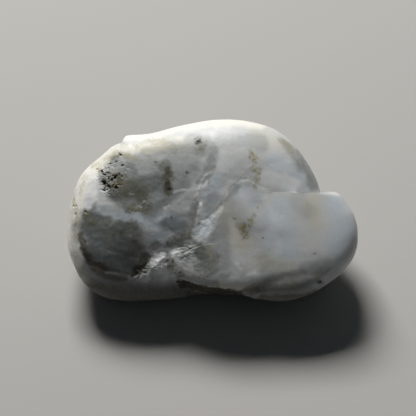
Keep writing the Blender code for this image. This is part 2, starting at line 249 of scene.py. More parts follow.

# What time has put on the face, and the shade painted at its foot and under its lip, each kind as strokes:
# (strength, [(u, v, radius), ...]). Where strokes of one kind overlap, the stronger one shows.
GREY_AND_SHADE_STROKES = [
    # along the top
    (0.75, [(-13.7, 11.4, 1.21), (-10.9, 11.8, 1.41), (-8.5, 12.2, 1.41)]),
    (0.55, [(-4.8, 13.8, 1.41), (-1.6, 13.0, 1.82)]),
    (0.6, [
        (-0.4, 10.2, 1.62), (-0.8, 12.4, 1.62), (-3.6, 11.8, 1.62), (-6.5, 12.2, 1.62),
        (-10.9, 12.0, 1.41),
    ]),
    (0.3, [(1.2, 13.6, 1.62), (5.3, 13.8, 1.62), (9.7, 13.2, 1.62)]),
    # down the left rim
    (0.7, [(-25.0, 1.7, 1.21), (-25.2, -0.7, 1.62), (-26.3, -3.1, 1.21)]),
    (0.5, [(-28.3, -3.5, 1.01), (-27.9, -8.4, 1.21), (-26.7, -12.8, 1.41)]),
    # on the pitted shoulder
    (0.6, [(-20.6, 9.4, 1.62), (-18.0, 8.2, 1.62)]),
    (0.75, [(-21.4, 6.2, 1.82), (-19.0, 5.8, 1.82)]),
    # on the slope left of the break
    (0.55, [(-18.0, 9.2, 2.02), (-12.9, 9.2, 3.43), (-5.8, 8.6, 3.43)]),
    (0.65, [(-6.7, 5.4, 2.42), (-10.5, 3.1, 3.03), (-12.9, 0.5, 2.63)]),
    (0.8, [(-17.0, 8.6, 1.62), (-16.8, 4.7, 1.82), (-17.2, 0.7, 1.82)]),
    (0.35, [(-22.0, -0.3, 1.41), (-19.0, -1.1, 1.41)]),
    (0.85, [(-9.9, 8.6, 1.82), (-9.9, 6.2, 2.22), (-9.7, 3.7, 1.82)]),
    (0.65, [(-10.1, 3.7, 1.82), (-10.1, 1.1, 1.62)]),
    (0.6, [(-18.6, 1.1, 1.62), (-17.4, 0.5, 1.21)]),
    (1, [(-11.7, 5.4, 2.42), (-18.0, 3.7, 3.23)]),
    (0.6, [(-13.7, 1.7, 1.62), (-10.9, 0.7, 1.62)]),
    (1, [(-19.4, 2.9, 2.02), (-16.6, 4.1, 2.63), (-14.3, 2.7, 2.02)]),
    # in and round the hollow
    (0.15, [(-7.3, -0.7, 2.42), (-9.3, -5.6, 3.03)]),
    (1, [(-19.8, -4.1, 1.62), (-16.4, -4.1, 1.62)]),
    (0.6, [(-18.6, -4.7, 1.62), (-15.3, -4.7, 1.62)]),
    (0.35, [(-12.9, -6.0, 1.62), (-10.9, -6.0, 1.62)]),
    (0.95, [(-25.4, -1.7, 1.41), (-21.8, -2.7, 1.62)]),
    (1, [(-25.4, -3.9, 1.82), (-22.2, -6.0, 3.43), (-18.2, -7.2, 3.03), (-16.1, -8.4, 2.02)]),
    (1, [(-24.6, -8.4, 2.02), (-21.4, -10.8, 2.22), (-17.0, -11.6, 2.42)]),
    (0.8, [(-23.6, -12.8, 1.62), (-20.6, -14.0, 2.02), (-17.0, -14.8, 1.82)]),
    # at the foot, and under the lip: painted shade
    (0.5, [(-6.5, -13.8, 1.01), (-2.8, -14.4, 1.01), (0.2, -15.1, 1.01)]),
    (0.75, [(-25.8, -12.4, 2.02), (-21.0, -15.9, 3.03), (-12.9, -17.1, 3.03), (-7.3, -17.1, 2.42)]),
    # along the broken middle
    (0.6, [(-1.2, -9.2, 2.63), (-0.6, -11.6, 2.42)]),
    (0.45, [(1.6, -2.3, 1.82), (1.0, -6.4, 2.02), (1.6, -11.6, 2.22)]),
    (0.4, [(-6.0, -10.0, 1.41), (-3.6, -9.6, 1.21)]),
    (0.3, [(-3.4, -5.6, 1.01), (-1.4, -3.1, 1.21), (0.6, -0.7, 1.01)]),
    (0.6, [(-0.2, 8.8, 1.01), (-1.6, 7.2, 1.01), (-3.0, 5.4, 0.81)]),
    (0.3, [(0.2, 1.7, 1.21), (-0.8, -1.1, 1.21)]),
    (0.45, [(4.7, 4.9, 0.81), (3.0, 2.9, 0.81), (1.6, 0.7, 0.81)]),
    (0.7, [(-9.3, -3.5, 1.62), (-6.0, -4.1, 1.62)]),
    (0.6, [(-8.5, -7.4, 1.01), (-6.9, -7.2, 1.21)]),
    (0.9, [(-6.5, -7.0, 1.21), (-4.8, -6.8, 1.41), (-3.4, -7.6, 1.41), (-1.8, -9.6, 1.41)]),
    (0.8, [(-6.0, -8.4, 0.61), (-4.8, -8.0, 0.81), (-3.2, -8.2, 0.81)]),
    (0.4, [(-1.6, 8.6, 0.81), (-2.0, 5.4, 0.81)]),
    (0.4, [(-3.6, 0.7, 0.81), (-4.2, -3.3, 1.41), (-6.5, -6.0, 1.41)]),
    # above the shelf
    (0.5, [(17.4, 11.4, 1.01), (19.2, 8.2, 1.21), (20.4, 4.5, 1.21)]),
    (0.4, [(14.2, 13.6, 1.01), (16.2, 11.2, 1.21), (17.8, 8.2, 1.21)]),
    # on the lobe
    # painted shade along the lobe's lower right rim
    (0.3, [(25.1, -13.6, 1.82), (27.5, -10.4, 1.82), (28.7, -7.2, 1.41)]),
    (0.22, [(10.9, -9.8, 2.22), (15.4, -10.4, 2.22), (19.8, -10.4, 2.02)]),
    (0.35, [(3.0, 0.3, 2.22), (4.9, -1.3, 2.63), (6.5, -2.7, 2.63)]),
    (0.25, [(8.1, 0.5, 2.22), (9.3, -2.7, 2.42)]),
    (0.2, [(16.8, 1.7, 1.82), (18.6, -0.7, 1.82)]),
    # round the foot of the lobe: painted shade where it rolls under
    (0.5, [(21.8, -15.9, 1.62), (25.1, -13.6, 1.62)]),
    (0.65, [(7.7, -17.3, 1.41), (11.7, -16.5, 1.82), (17.4, -15.9, 1.82), (21.4, -15.3, 1.62)]),
    (0.35, [(10.5, -12.0, 1.82), (15.4, -12.2, 1.82)]),
    (0.5, [(18.2, -12.0, 1.82), (21.8, -11.6, 1.82)]),
    (0.6, [(7.3, -17.7, 1.21), (11.3, -16.9, 1.21), (17.4, -16.5, 1.41), (21.8, -15.1, 1.01)]),
]
BLUE_STROKES = [
    # in and round the hollow
    (0.8, [(-23.4, -0.7, 1.41), (-19.0, -1.9, 1.62), (-12.9, -2.1, 1.62), (-9.9, -2.7, 1.62)]),
    (0.8, [(-10.9, -5.4, 2.02), (-7.9, -3.3, 2.02)]),
    (0.7, [(-22.2, -7.6, 1.62), (-21.4, -9.6, 1.62)]),
    # along the broken middle
    (0.8, [(0.2, 5.8, 1.41), (-0.4, 1.7, 1.41)]),
    (0.9, [(-0.8, -1.9, 1.41), (-2.8, -4.7, 1.41)]),
    # above the shelf
    (0.9, [(12.3, 8.8, 2.02), (15.4, 6.8, 2.42), (15.8, 4.9, 1.82)]),
    # on the lobe
    (0.8, [(13.7, 0.7, 2.02), (12.3, -2.7, 3.23), (13.3, -7.4, 3.23)]),
    (0.9, [(24.5, 0.7, 2.02), (25.9, -3.3, 2.42), (24.5, -7.4, 2.42)]),
    (0.8, [(5.3, 3.7, 1.41), (8.9, 3.3, 1.21), (7.3, 1.7, 1.62)]),
]
BEIGE_STROKES = [
    # along the top
    (0.25, [(8.9, 15.3, 2.02), (12.3, 13.4, 2.02), (15.4, 11.8, 1.41)]),
    (0.5, [(-13.9, 12.6, 1.41), (-9.9, 12.6, 1.62), (-5.8, 13.0, 1.41)]),
    # down the left rim
    (0.6, [(-28.3, -8.4, 1.21), (-27.5, -12.0, 1.21), (-24.6, -16.1, 1.21)]),
    (0.55, [(-29.1, 1.7, 0.81), (-29.1, -2.3, 0.81), (-28.9, -6.4, 0.81)]),
    # on the pitted shoulder
    (0.4, [(-24.0, 8.8, 1.62), (-21.0, 11.4, 1.41), (-17.0, 11.8, 1.41)]),
    # on the lobe
    (0.45, [(19.8, 1.7, 1.41), (20.0, -2.7, 1.62)]),
    (0.4, [(2.8, -1.3, 2.02), (5.3, -6.4, 2.42)]),
    # round the foot of the lobe
    (0.5, [(0.2, -15.3, 0.81), (5.3, -16.3, 0.81), (9.7, -15.1, 1.01)]),
    (0.4, [(9.7, -10.8, 2.02), (13.7, -11.6, 2.02)]),
    (0.6, [(15.4, -16.1, 1.62), (9.7, -16.5, 1.21)]),
]
CHALK_STROKES = [
    # down the left rim
    (0.8, [(-25.4, 6.6, 1.41), (-24.8, 3.1, 1.62), (-25.6, 0.7, 0.81)]),
    # on the slope left of the break
    (0.6, [(-16.8, 3.1, 0.16), (-16.4, 2.9, 0.16)]),
    (0.6, [(-15.1, 0.5, 0.16), (-14.7, 0.3, 0.16)]),
    (0.6, [(-14.3, 1.3, 0.16), (-14.1, 1.7, 0.16)]),
    (0.35, [(-3.0, 4.1, 0.24), (-5.6, 3.8, 0.24), (-8.1, 3.4, 0.24)]),
    (0.6, [(-9.9, 0.1, 0.16), (-9.1, 0.9, 0.16)]),
    # in and round the hollow
    (0.6, [(-11.9, -9.0, 0.61), (-10.5, -9.0, 0.61)]),
    (0.75, [(-12.5, -10.6, 0.81), (-11.3, -10.8, 1.21), (-10.1, -11.6, 0.81)]),
    (0.5, [(-10.9, -12.4, 0.81), (-9.3, -12.4, 0.81)]),
    (0.5, [(-14.7, -12.4, 0.2), (-14.5, -12.4, 0.2)]),
    (0.5, [(-13.9, -11.6, 0.2), (-13.7, -11.4, 0.2)]),
    (0.5, [(-16.1, -13.8, 0.24), (-15.3, -13.4, 0.24)]),
    (0.6, [(-13.3, -11.0, 0.2), (-12.9, -10.8, 0.2)]),
    (0.5, [(-14.3, -14.4, 0.81), (-13.3, -13.6, 0.81)]),
    # along the broken middle
    (0.4, [(-7.9, -9.6, 0.81), (-6.9, -10.8, 0.81)]),
    (0.4, [(-5.6, -9.0, 0.28), (-4.0, -9.4, 0.24)]),
    (0.45, [(-6.0, -11.0, 0.51), (-4.6, -11.2, 0.4)]),
    (0.5, [(-6.9, -12.0, 0.81), (-4.8, -12.6, 0.81)]),
    (0.7, [(-2.4, -2.7, 0.24), (-1.2, -2.1, 0.24)]),
    (0.9, [(-2.2, 4.5, 0.24), (-1.4, 5.4, 0.32)]),
    (0.9, [(-4.2, 1.9, 0.18), (-3.0, 3.1, 0.22)]),
    (0.7, [(-2.6, 0.9, 0.32), (-3.0, -0.7, 0.3)]),
    # above the shelf
    (0.8, [(10.5, 6.2, 1.62), (13.3, 5.8, 1.82), (16.2, 4.9, 1.41)]),
    (0.3, [(12.9, 8.2, 1.41), (15.4, 8.6, 1.41)]),
    # on the lobe
    (0.3, [(11.3, -6.0, 1.82), (12.1, -7.6, 1.82)]),
    (0.4, [(6.3, 3.3, 1.21), (9.7, 2.9, 1.21)]),
    # round the foot of the lobe
    (0.6, [(4.5, -10.8, 0.4), (5.3, -12.0, 0.4)]),
    (0.6, [(6.9, -13.2, 0.32), (8.1, -12.8, 0.32)]),
]
CREAM_STROKES = [
    # along the top
    (0.8, [(-11.3, 15.9, 1.41), (-4.8, 17.3, 1.41), (3.2, 18.1, 1.41), (9.7, 17.3, 1.21)]),
    (0.8, [(-18.2, 14.6, 0.81), (-14.9, 14.8, 1.01), (-11.3, 15.3, 1.01)]),
    (0.6, [(-19.0, 12.2, 1.01), (-16.6, 11.8, 0.81)]),
    # down the left rim
    (0.9, [(-26.5, 6.2, 1.41), (-27.1, 2.9, 1.21), (-27.3, 0.5, 1.01)]),
    (0.6, [(-21.0, 11.8, 1.21), (-24.6, 8.2, 1.62), (-26.3, 5.4, 1.21)]),
    (0.8, [(-29.3, 4.1, 0.51), (-29.6, -1.3, 0.51), (-29.5, -6.8, 0.51), (-28.9, -11.2, 0.51)]),
    (0.5, [(-27.9, 0.5, 1.21), (-28.5, -2.7, 1.41), (-28.5, -6.8, 1.41), (-27.5, -10.8, 1.21)]),
]
OLIVE_STROKES = [
    # along the top
    (0.9, [(-3.6, 13.8, 0.81), (-2.2, 13.0, 1.01), (-3.0, 11.8, 1.01)]),
    # down the left rim
    (0.9, [(-27.1, 0.1, 0.81), (-25.4, -2.7, 1.01)]),
    # on the pitted shoulder
    (1, [(-21.8, 6.6, 1.01), (-20.6, 5.6, 1.41), (-18.6, 5.8, 1.41), (-19.2, 3.9, 1.21)]),
    (0.4, [(-21.0, 9.0, 1.21), (-18.6, 7.8, 1.21)]),
    # on the slope left of the break
    (1, [(-17.0, -0.1, 0.81), (-14.9, -0.1, 1.21), (-13.5, 0.3, 1.21)]),
    (0.9, [(-9.9, 8.4, 1.01), (-9.3, 6.6, 1.41), (-9.7, 4.9, 1.01), (-9.3, 3.3, 0.81)]),
    (0.4, [(-12.9, 10.6, 1.01), (-11.7, 9.2, 0.81)]),
    (0.9, [(-18.8, 2.5, 1.82), (-16.8, 4.9, 1.82), (-14.5, 2.5, 2.02)]),
    # in and round the hollow
    (0.7, [(-23.4, -3.5, 1.21), (-19.0, -4.3, 1.62), (-16.4, -3.5, 1.21)]),
    (0.9, [(-22.0, -7.8, 0.81), (-21.6, -6.4, 0.61)]),
    (0.5, [(-19.0, -4.1, 1.41), (-15.7, -4.3, 1.01)]),
    (1, [(-16.1, -13.6, 0.81), (-14.9, -12.6, 1.01), (-13.5, -11.6, 1.01)]),
    (0.6, [(-12.9, -13.4, 1.01), (-14.5, -14.6, 0.81)]),
    # along the broken middle
    (0.4, [(-2.2, -8.2, 1.01), (-0.2, -9.6, 1.21), (-1.2, -12.0, 1.21)]),
    (0.5, [(-4.8, -12.0, 1.21), (-1.8, -13.6, 1.21)]),
    (0.5, [(-3.6, 2.1, 0.4), (-3.4, -0.7, 0.51), (-4.4, -3.5, 0.61)]),
    (0.8, [(-4.8, -4.7, 0.71), (-6.5, -6.0, 0.81), (-8.9, -6.6, 0.71)]),
    (0.5, [(0.0, 9.2, 0.4), (-1.0, 7.4, 0.51), (-2.6, 6.2, 0.4)]),
    (0.55, [(6.5, 6.0, 0.28), (4.7, 5.4, 0.28), (3.4, 3.7, 0.28), (2.0, 1.7, 0.3), (0.4, -0.5, 0.3)]),
    (1, [(-8.1, -11.6, 1.01), (-6.7, -13.0, 1.01)]),
    (0.7, [(-6.5, -7.4, 0.61), (-4.4, -7.4, 0.61)]),
    (0.5, [(-3.4, -7.6, 0.61), (-2.8, -9.6, 0.81)]),
    # above the shelf
    (0.35, [(17.4, 9.8, 0.81), (19.6, 6.2, 0.81)]),
    # on the lobe
    (0.8, [(5.3, -3.5, 0.81), (6.1, -5.4, 1.01)]),
    (0.6, [(7.7, -1.5, 0.61), (7.1, -3.5, 0.61)]),
]
OCHRE_STROKES = [
    # along the top
    (0.6, [
        (-16.1, 12.4, 0.61), (-14.1, 12.0, 0.81), (-11.7, 12.4, 0.81), (-9.7, 12.8, 0.81),
        (-7.7, 12.6, 0.4),
    ]),
    (0.5, [(-12.9, 13.8, 0.61), (-10.9, 14.0, 0.61)]),
    (0.6, [(13.5, 14.0, 0.51), (15.0, 12.8, 0.51), (16.0, 11.4, 0.4)]),
    # down the left rim
    (0.45, [(-25.0, 9.2, 0.71), (-23.2, 8.8, 0.61)]),
    (0.45, [(-26.0, 6.6, 0.61), (-27.3, 3.7, 0.61)]),
    (0.6, [(-28.5, 1.7, 0.51), (-28.1, -1.1, 0.61), (-27.7, -3.1, 0.51)]),
    (0.4, [(-25.8, -0.3, 0.51), (-24.6, -2.3, 0.61)]),
    # on the pitted shoulder
    (0.9, [(-20.0, 4.9, 0.61), (-18.8, 5.2, 0.51)]),
    (0.7, [(-22.2, 4.9, 0.4), (-21.4, 4.1, 0.4)]),
    (0.6, [(-20.6, 6.8, 0.4), (-19.4, 7.0, 0.4)]),
    (0.55, [(-23.4, 7.8, 0.61), (-23.0, 8.2, 0.4)]),
    (0.5, [(-22.2, 10.2, 0.61), (-19.4, 11.0, 0.61), (-16.1, 10.2, 0.61)]),
    # on the slope left of the break
    (0.5, [(-16.8, 0.3, 0.4), (-13.5, -0.7, 0.4)]),
    # in and round the hollow
    (0.45, [(-27.5, -6.4, 0.32), (-26.3, -8.8, 0.32)]),
    # along the broken middle
    (0.35, [(-1.2, -8.2, 0.61), (-0.4, -11.6, 0.4)]),
    # above the shelf
    (0.9, [(7.3, 11.6, 0.4), (7.9, 10.2, 0.61), (8.3, 9.0, 0.61), (7.9, 7.8, 0.44)]),
    (0.7, [(8.7, 7.6, 0.61), (8.5, 5.8, 0.61), (7.9, 3.7, 0.4)]),
    # on the lobe
    (0.7, [(5.7, -4.1, 0.71), (6.1, -6.0, 0.51)]),
    (0.6, [(7.3, -1.9, 0.51), (7.1, -3.5, 0.4)]),
    # round the foot of the lobe
    (0.4, [(20.6, -14.0, 0.51), (21.2, -14.6, 0.4)]),
    (0.3, [(5.3, -16.7, 0.4), (8.9, -15.9, 0.51)]),
]
DIRT_AND_SHADE_STROKES = [
    # along the top
    (0.75, [(-3.4, 13.4, 0.53), (-2.8, 13.4, 0.4)]),
    # down the left rim
    (0.35, [(-25.4, -0.7, 0.81), (-24.6, -2.7, 1.01)]),
    (0.4, [(-27.9, -3.5, 0.81), (-27.5, -6.4, 0.81)]),
    # on the pitted shoulder
    (0.7, [(-19.4, 6.6, 0.61), (-18.8, 5.6, 0.69)]),
    (0.8, [(-22.4, 5.8, 0.4), (-21.6, 4.7, 0.61)]),
    (0.7, [(-20.6, 4.5, 0.48), (-19.4, 4.1, 0.36)]),
    (0.5, [(-23.4, 7.8, 0.32), (-22.2, 7.0, 0.36)]),
    (0.5, [(-20.6, 10.2, 0.24), (-18.8, 10.8, 0.28)]),
    # on the slope left of the break
    (0.75, [(-9.5, 8.2, 0.61), (-9.3, 7.0, 0.81), (-9.9, 6.0, 0.71)]),
    (0.95, [(-9.3, 5.2, 0.61), (-9.3, 3.7, 0.69)]),
    (0.45, [(-19.0, 3.7, 2.02), (-15.9, 3.7, 2.02), (-14.9, 2.1, 1.41)]),
    (0.8, [(-5.4, 7.2, 0.26), (-5.2, 7.2, 0.26)]),
    (0.7, [(-11.7, 9.4, 0.3), (-11.7, 9.2, 0.3)]),
    # in and round the hollow
    (0.9, [(-16.4, -13.6, 0.4), (-15.5, -12.4, 0.81), (-14.5, -10.8, 1.21), (-13.9, -9.6, 1.21)]),
    (0.6, [(-14.5, -8.0, 1.41), (-15.5, -6.2, 1.41)]),
    (0.45, [(-17.6, -8.4, 2.42), (-16.4, -9.8, 2.42)]),
    (0.5, [(-13.5, -8.6, 1.01), (-11.7, -7.4, 1.01)]),
    (0.85, [(-27.1, -5.2, 0.71), (-26.7, -6.6, 0.91), (-26.3, -8.2, 0.81)]),
    (1, [(-26.0, -8.4, 0.61), (-25.4, -10.0, 0.91), (-24.2, -11.4, 1.21), (-22.6, -12.2, 1.21)]),
    (0.65, [(-22.8, -12.6, 1.21), (-20.6, -13.2, 1.41), (-18.4, -13.8, 1.21)]),
    (0.35, [(-9.3, -8.6, 0.32), (-9.3, -10.8, 0.36), (-8.7, -13.2, 0.36)]),
    (0.5, [(-9.9, -7.6, 0.28), (-9.7, -7.8, 0.28)]),
    (0.7, [(-8.5, -1.5, 0.24), (-8.5, -1.7, 0.24)]),
    (0.6, [(-18.2, -4.3, 0.28), (-18.6, -5.0, 0.28)]),
    (0.6, [(-20.2, -5.4, 0.28), (-20.2, -5.6, 0.28)]),
    # at the foot, and under the lip: painted shade
    (0.2, [(-22.2, -14.8, 1.62), (-18.2, -16.1, 1.62)]),
    (0.8, [(-25.0, -16.9, 2.42), (-20.0, -18.1, 3.03), (-12.9, -18.5, 3.23), (-5.8, -18.1, 2.63)]),
    (1, [(-7.3, -14.6, 0.32), (-4.8, -15.3, 0.32), (0.4, -16.1, 0.34), (5.3, -16.7, 0.36)]),
    (1, [(-6.5, -15.5, 0.71), (-2.8, -16.2, 0.91), (0.4, -16.9, 1.01), (5.3, -17.7, 1.01)]),
    (0.95, [(-4.8, -17.5, 1.41), (-2.2, -18.3, 1.62), (0.2, -18.5, 1.62), (6.9, -19.1, 1.41)]),
    # along the broken middle
    (0.35, [(-10.9, -7.4, 0.51), (-8.5, -7.2, 0.4), (-6.5, -6.4, 0.61), (-5.0, -5.6, 0.61)]),
    # on the lobe
    (0.4, [(6.1, -3.1, 0.32), (5.8, -4.5, 0.28)]),
    (0.6, [(9.7, -5.8, 0.2), (9.7, -6.0, 0.2)]),
    (0.6, [(8.9, 0.4, 0.14), (8.9, 0.2, 0.14)]),
    (0.6, [(3.9, -2.1, 0.2), (4.1, -2.1, 0.2)]),
    (0.6, [(20.0, -9.2, 0.18), (20.2, -9.2, 0.18)]),
    # round the foot of the lobe: mostly painted shade, with brown along the groove
    (0.5, [(6.1, -16.7, 0.81), (8.9, -15.9, 1.21), (12.1, -14.8, 1.41)]),
    (0.38, [(11.3, -15.1, 1.41), (15.0, -14.0, 1.62), (17.8, -13.4, 1.41)]),
    (0.22, [(17.4, -13.2, 1.41), (20.6, -12.4, 1.41)]),
    (0.7, [(4.5, -16.7, 0.61), (6.9, -16.7, 0.81), (8.9, -16.3, 0.81)]),
    (0.3, [(8.5, -17.1, 1.21), (13.3, -16.5, 1.41), (18.4, -16.1, 1.41)]),
    (0.8, [(9.7, -18.5, 1.41), (17.4, -18.1, 1.21), (20.6, -17.1, 0.81)]),
    (0.7, [(21.0, -14.6, 0.3), (21.2, -14.8, 0.3)]),
]

# How far the rims of stains, and of the painted shade among them, wander, as (pitch, amount) of smooth
# noise.
SOFT_RIM = [(4.0, 0.7), (1.5, 0.3), (0.6, 0.08)]
CRISP_RIM = [(1.6, 0.35), (0.6, 0.2), (0.3, 0.1)]
TORN_RIM = [(1.6, 0.7), (0.6, 0.4), (0.3, 0.2)]
STAINS_AND_SHADE = {
    "grey": (GREY_AND_SHADE_STROKES, SOFT_RIM),
    "blue": (BLUE_STROKES, SOFT_RIM),
    "beige": (BEIGE_STROKES, SOFT_RIM),
    "chalk": (CHALK_STROKES, CRISP_RIM),
    "cream": (CREAM_STROKES, CRISP_RIM),
    "olive": (OLIVE_STROKES, TORN_RIM),
    "ochre": (OCHRE_STROKES, TORN_RIM),
    "dirt_and_shade": (DIRT_AND_SHADE_STROKES, CRISP_RIM),
}

# Painted shade darkens the stone towards the bottom, up to this height in mm, in a wavy line.
LOW_SHADE_LINE = (1.5, 6.5)
LOW_SHADE_WAVE = [(7.0, 2.0), (2.0, 1.0)]


def smooth(low, high, value):
    """0 below low, 1 above high, and an easy S between."""
    t = np.clip((value - low) / (high - low), 0.0, 1.0)
    return t * t * (3.0 - 2.0 * t)


def face_coordinates(points):
    offset = points - FACE_CENTRE
    return offset @ FACE_RIGHT, offset @ FACE_UP, offset @ FACE_OUT


def levelled(v, w):
    """Height out of the face, with the slope of the back mass's sheet taken off."""
    return w - BACK_MASS["slope"] * v


def through(points, steps=6):
    """A Catmull-Rom curve through the rows of an open line, as an array with the same columns."""
    line = np.array(points, float)
    ends = np.vstack([2 * line[0] - line[1], line, 2 * line[-1] - line[-2]])
    t = np.linspace(0.0, 1.0, steps, endpoint=False)[:, None]
    pieces = []
    for a, b, c, d in zip(ends, ends[1:], ends[2:], ends[3:]):
        slope, bend, twist = c - a, 2 * a - 5 * b + 4 * c - d, 3 * b - a - 3 * c + d
        pieces.append(0.5 * (2 * b + slope * t + bend * t**2 + twist * t**3))
    return np.vstack([*pieces, line[-1:]])


def from_line(u, v, line, steps=6):
    """Signed distance from an open line, above 0 on its right, and the line's other columns there."""
    path = through(line, steps)
    start, run = path[:-1], np.diff(path, axis=0)
    length2 = run[:, 0] ** 2 + run[:, 1] ** 2
    du, dv = u[:, None] - start[:, 0], v[:, None] - start[:, 1]
    along = np.clip((du * run[:, 0] + dv * run[:, 1]) / length2, 0.0, 1.0)
    gap = np.hypot(du - along * run[:, 0], dv - along * run[:, 1])
    near = gap.argmin(axis=1)
    row = np.arange(len(u))
    side = np.sign(run[near, 1] * du[row, near] - run[near, 0] * dv[row, near])
    weight = (gap + NEARBY) ** -NEARNESS
    weight /= weight.sum(axis=1)[:, None]
    columns = [(weight * (a + along * b)).sum(axis=1) for a, b in zip(start.T[2:], run.T[2:])]
    return side * (weight * gap).sum(axis=1), *columns


def outline_reach(mass, angle):
    """How far the outline stands from the mass's centre at each angle round it."""
    corners = np.array(mass["outline"]) - mass["centre"]
    loop = through(np.vstack([corners[-2:], corners, corners[:2]]))
    turns = np.unwrap(np.arctan2(loop[:, 1], loop[:, 0]))
    reach = np.hypot(loop[:, 0], loop[:, 1])
    return np.interp(np.mod(angle - turns[0], 2 * math.pi) + turns[0], turns, reach)


def mass_field(mass, u, v, w):
    """Roughly the distance in mm outside the mass's surface, and below 0 inside it."""
    du, dv = u - mass["centre"][0], v - mass["centre"][1]
    reach = outline_reach(mass, np.arctan2(dv, du))
    out = w - mass["middle"] - mass["slope"] * v
    depth = np.where(out > 0, mass["front"], mass["back"])
    n = np.where(out > 0, *mass["fullness"])
    wide, deep = (np.hypot(du, dv) / reach) ** n, (np.abs(out) / depth) ** n
    tiny = 1e-9
    size = (wide * reach + deep * depth) / (wide + deep + tiny)
    return ((wide + deep) ** (1.0 / n) - 1.0) * size


def joined(first, second, blend):
    """The smaller of two distances, rounded over blend mm where they are alike."""
    share = np.clip(0.5 + 0.5 * (first - second) / blend, 0.0, 1.0)
    return first + (second - first) * share - blend * share * (1.0 - share)


def cut(first, second, blend):
    """The larger of two distances, rounded in the same way."""
    return -joined(-first, -second, blend)


def body_field(points):
    """The two masses, joined in a sharp crease along the shelf and softly elsewhere, less the breaks."""
    u, v, w = face_coordinates(points)
    rounding = SHELF_BLEND[0] + (SHELF_BLEND[1] - SHELF_BLEND[0]) * smooth(*SHELF_ROUNDED, u)
    lobe = cut(mass_field(FRONT_LOBE, u, v, w), v - SHELF_TOP, rounding)
    away = np.abs(from_line(u, v, CREASE)[0])
    blend = SHARP_BLEND + (SOFT_BLEND - SHARP_BLEND) * smooth(CREASE_SHARP_REACH, CREASE_SOFT_REACH, away)
    field = joined(mass_field(BACK_MASS, u, v, w), lobe, blend)
    for facing, far in BREAKS:
        direction = np.array(facing) / math.hypot(*facing)
        field = cut(field, (points - HEART) @ direction - far, BREAK_BLEND)
    return field


def on_body(rays):
    """Where rays from the heart meet the body, and the outward normals there."""
    low = np.zeros(len(rays))
    high = np.full(len(rays), SEARCH_REACH)
    for _ in range(SEARCH_HALVINGS):
        half = 0.5 * (low + high)
        inside = body_field(HEART + rays * half[:, None]) < 0.0
        low, high = np.where(inside, half, low), np.where(inside, high, half)
    points = HEART + rays * low[:, None]
    nudges = NORMAL_NUDGE * np.eye(3)
    normals = np.stack([body_field(points + n) - body_field(points - n) for n in nudges], axis=1)
    return points, normals / np.linalg.norm(normals, axis=1)[:, None]


def perlin(points, pitch, seed):
    """Smooth noise of this pitch in mm, its own for each whole-number seed."""
    shift = seed * SEED_SHIFT
    return np.array([noise.noise(Vector(p) / pitch + shift) for p in points.tolist()])


def uneven(points, octaves, seed):
    """The sum of several (pitch, amount) pairs of smooth noise, in mm."""
    return sum(
        amount * perlin(points, pitch, seed + OCTAVE_SEEDS * i)
        for i, (pitch, amount) in enumerate(octaves)
    )


def in_patch(u, v, patch):
    """Distance from the middle of a turned oval patch, 1 at its rim."""
    patch_u, patch_v, long_radius, short_radius, turn = patch[:5]
    c, s = math.cos(math.radians(turn)), math.sin(math.radians(turn))
    along = ((u - patch_u) * c + (v - patch_v) * s) / long_radius
    across = ((v - patch_v) * c - (u - patch_u) * s) / short_radius
    return np.hypot(along, across)


def patch_share(u, v, patches):
    """How rough a patch is where a point is well inside it, and 0 outside them all."""
    shares = [patch[5] * (1.0 - smooth(*PATCH_FADE, in_patch(u, v, patch))) for patch in patches]
    return np.max(shares, axis=0)


def crystal_grain(points, share):
    """Blocky crystals, and the small tilted facets that they break into, in mm."""
    height = np.zeros(len(points))
    for index in np.nonzero(share)[0]:
        point = Vector(points[index].tolist())
        nearest, second = noise.voronoi(point / GRAIN_PITCH, distance_metric="MANHATTAN")[0][:2]
        block = min(1.0, GRAIN_BLUNTNESS * (second - nearest)) - 0.5
        middle = noise.voronoi(point / FACET_PITCH)[1][0]
        tilt = 2.0 * noise.cell_vector(FACET_SHUFFLE * middle) - Vector((1.0, 1.0, 1.0))
        facet = FACET_PITCH * FACET_TILT * tilt.dot(point / FACET_PITCH - middle)
        height[index] = GRAIN_HEIGHT * block + facet
    return height * share


def pit_depth(points, torn_u, torn_v, shown):
    """How deep the pits are, in mm: the drawn ones, the crumbling ground, and the hidden side's."""
    deep = np.zeros(len(points))
    for pit_u, pit_v, radius, depth in PITS:
        away = np.hypot(torn_u - pit_u, torn_v - pit_v)
        deep = np.maximum(deep, depth * (1.0 - smooth(FADE[0] * radius, FADE[1] * radius, away)))
    crumbs = smooth(*CRUMBS_FROM, uneven(points, CRUMBS, 7))
    deep = np.maximum(deep, CRUMB_DEPTH * crumbs * patch_share(torn_u, torn_v, CRUMBLED_PATCHES))
    patchy = smooth(*BACK_PATCHES_FROM, perlin(points, BACK_PATCH_PITCH, 8))
    back = BACK_PIT_DEPTH * patchy * smooth(*BACK_PITS_FROM, perlin(points, BACK_PIT_PITCH, 9))
    return deep * shown + back * (1.0 - shown)


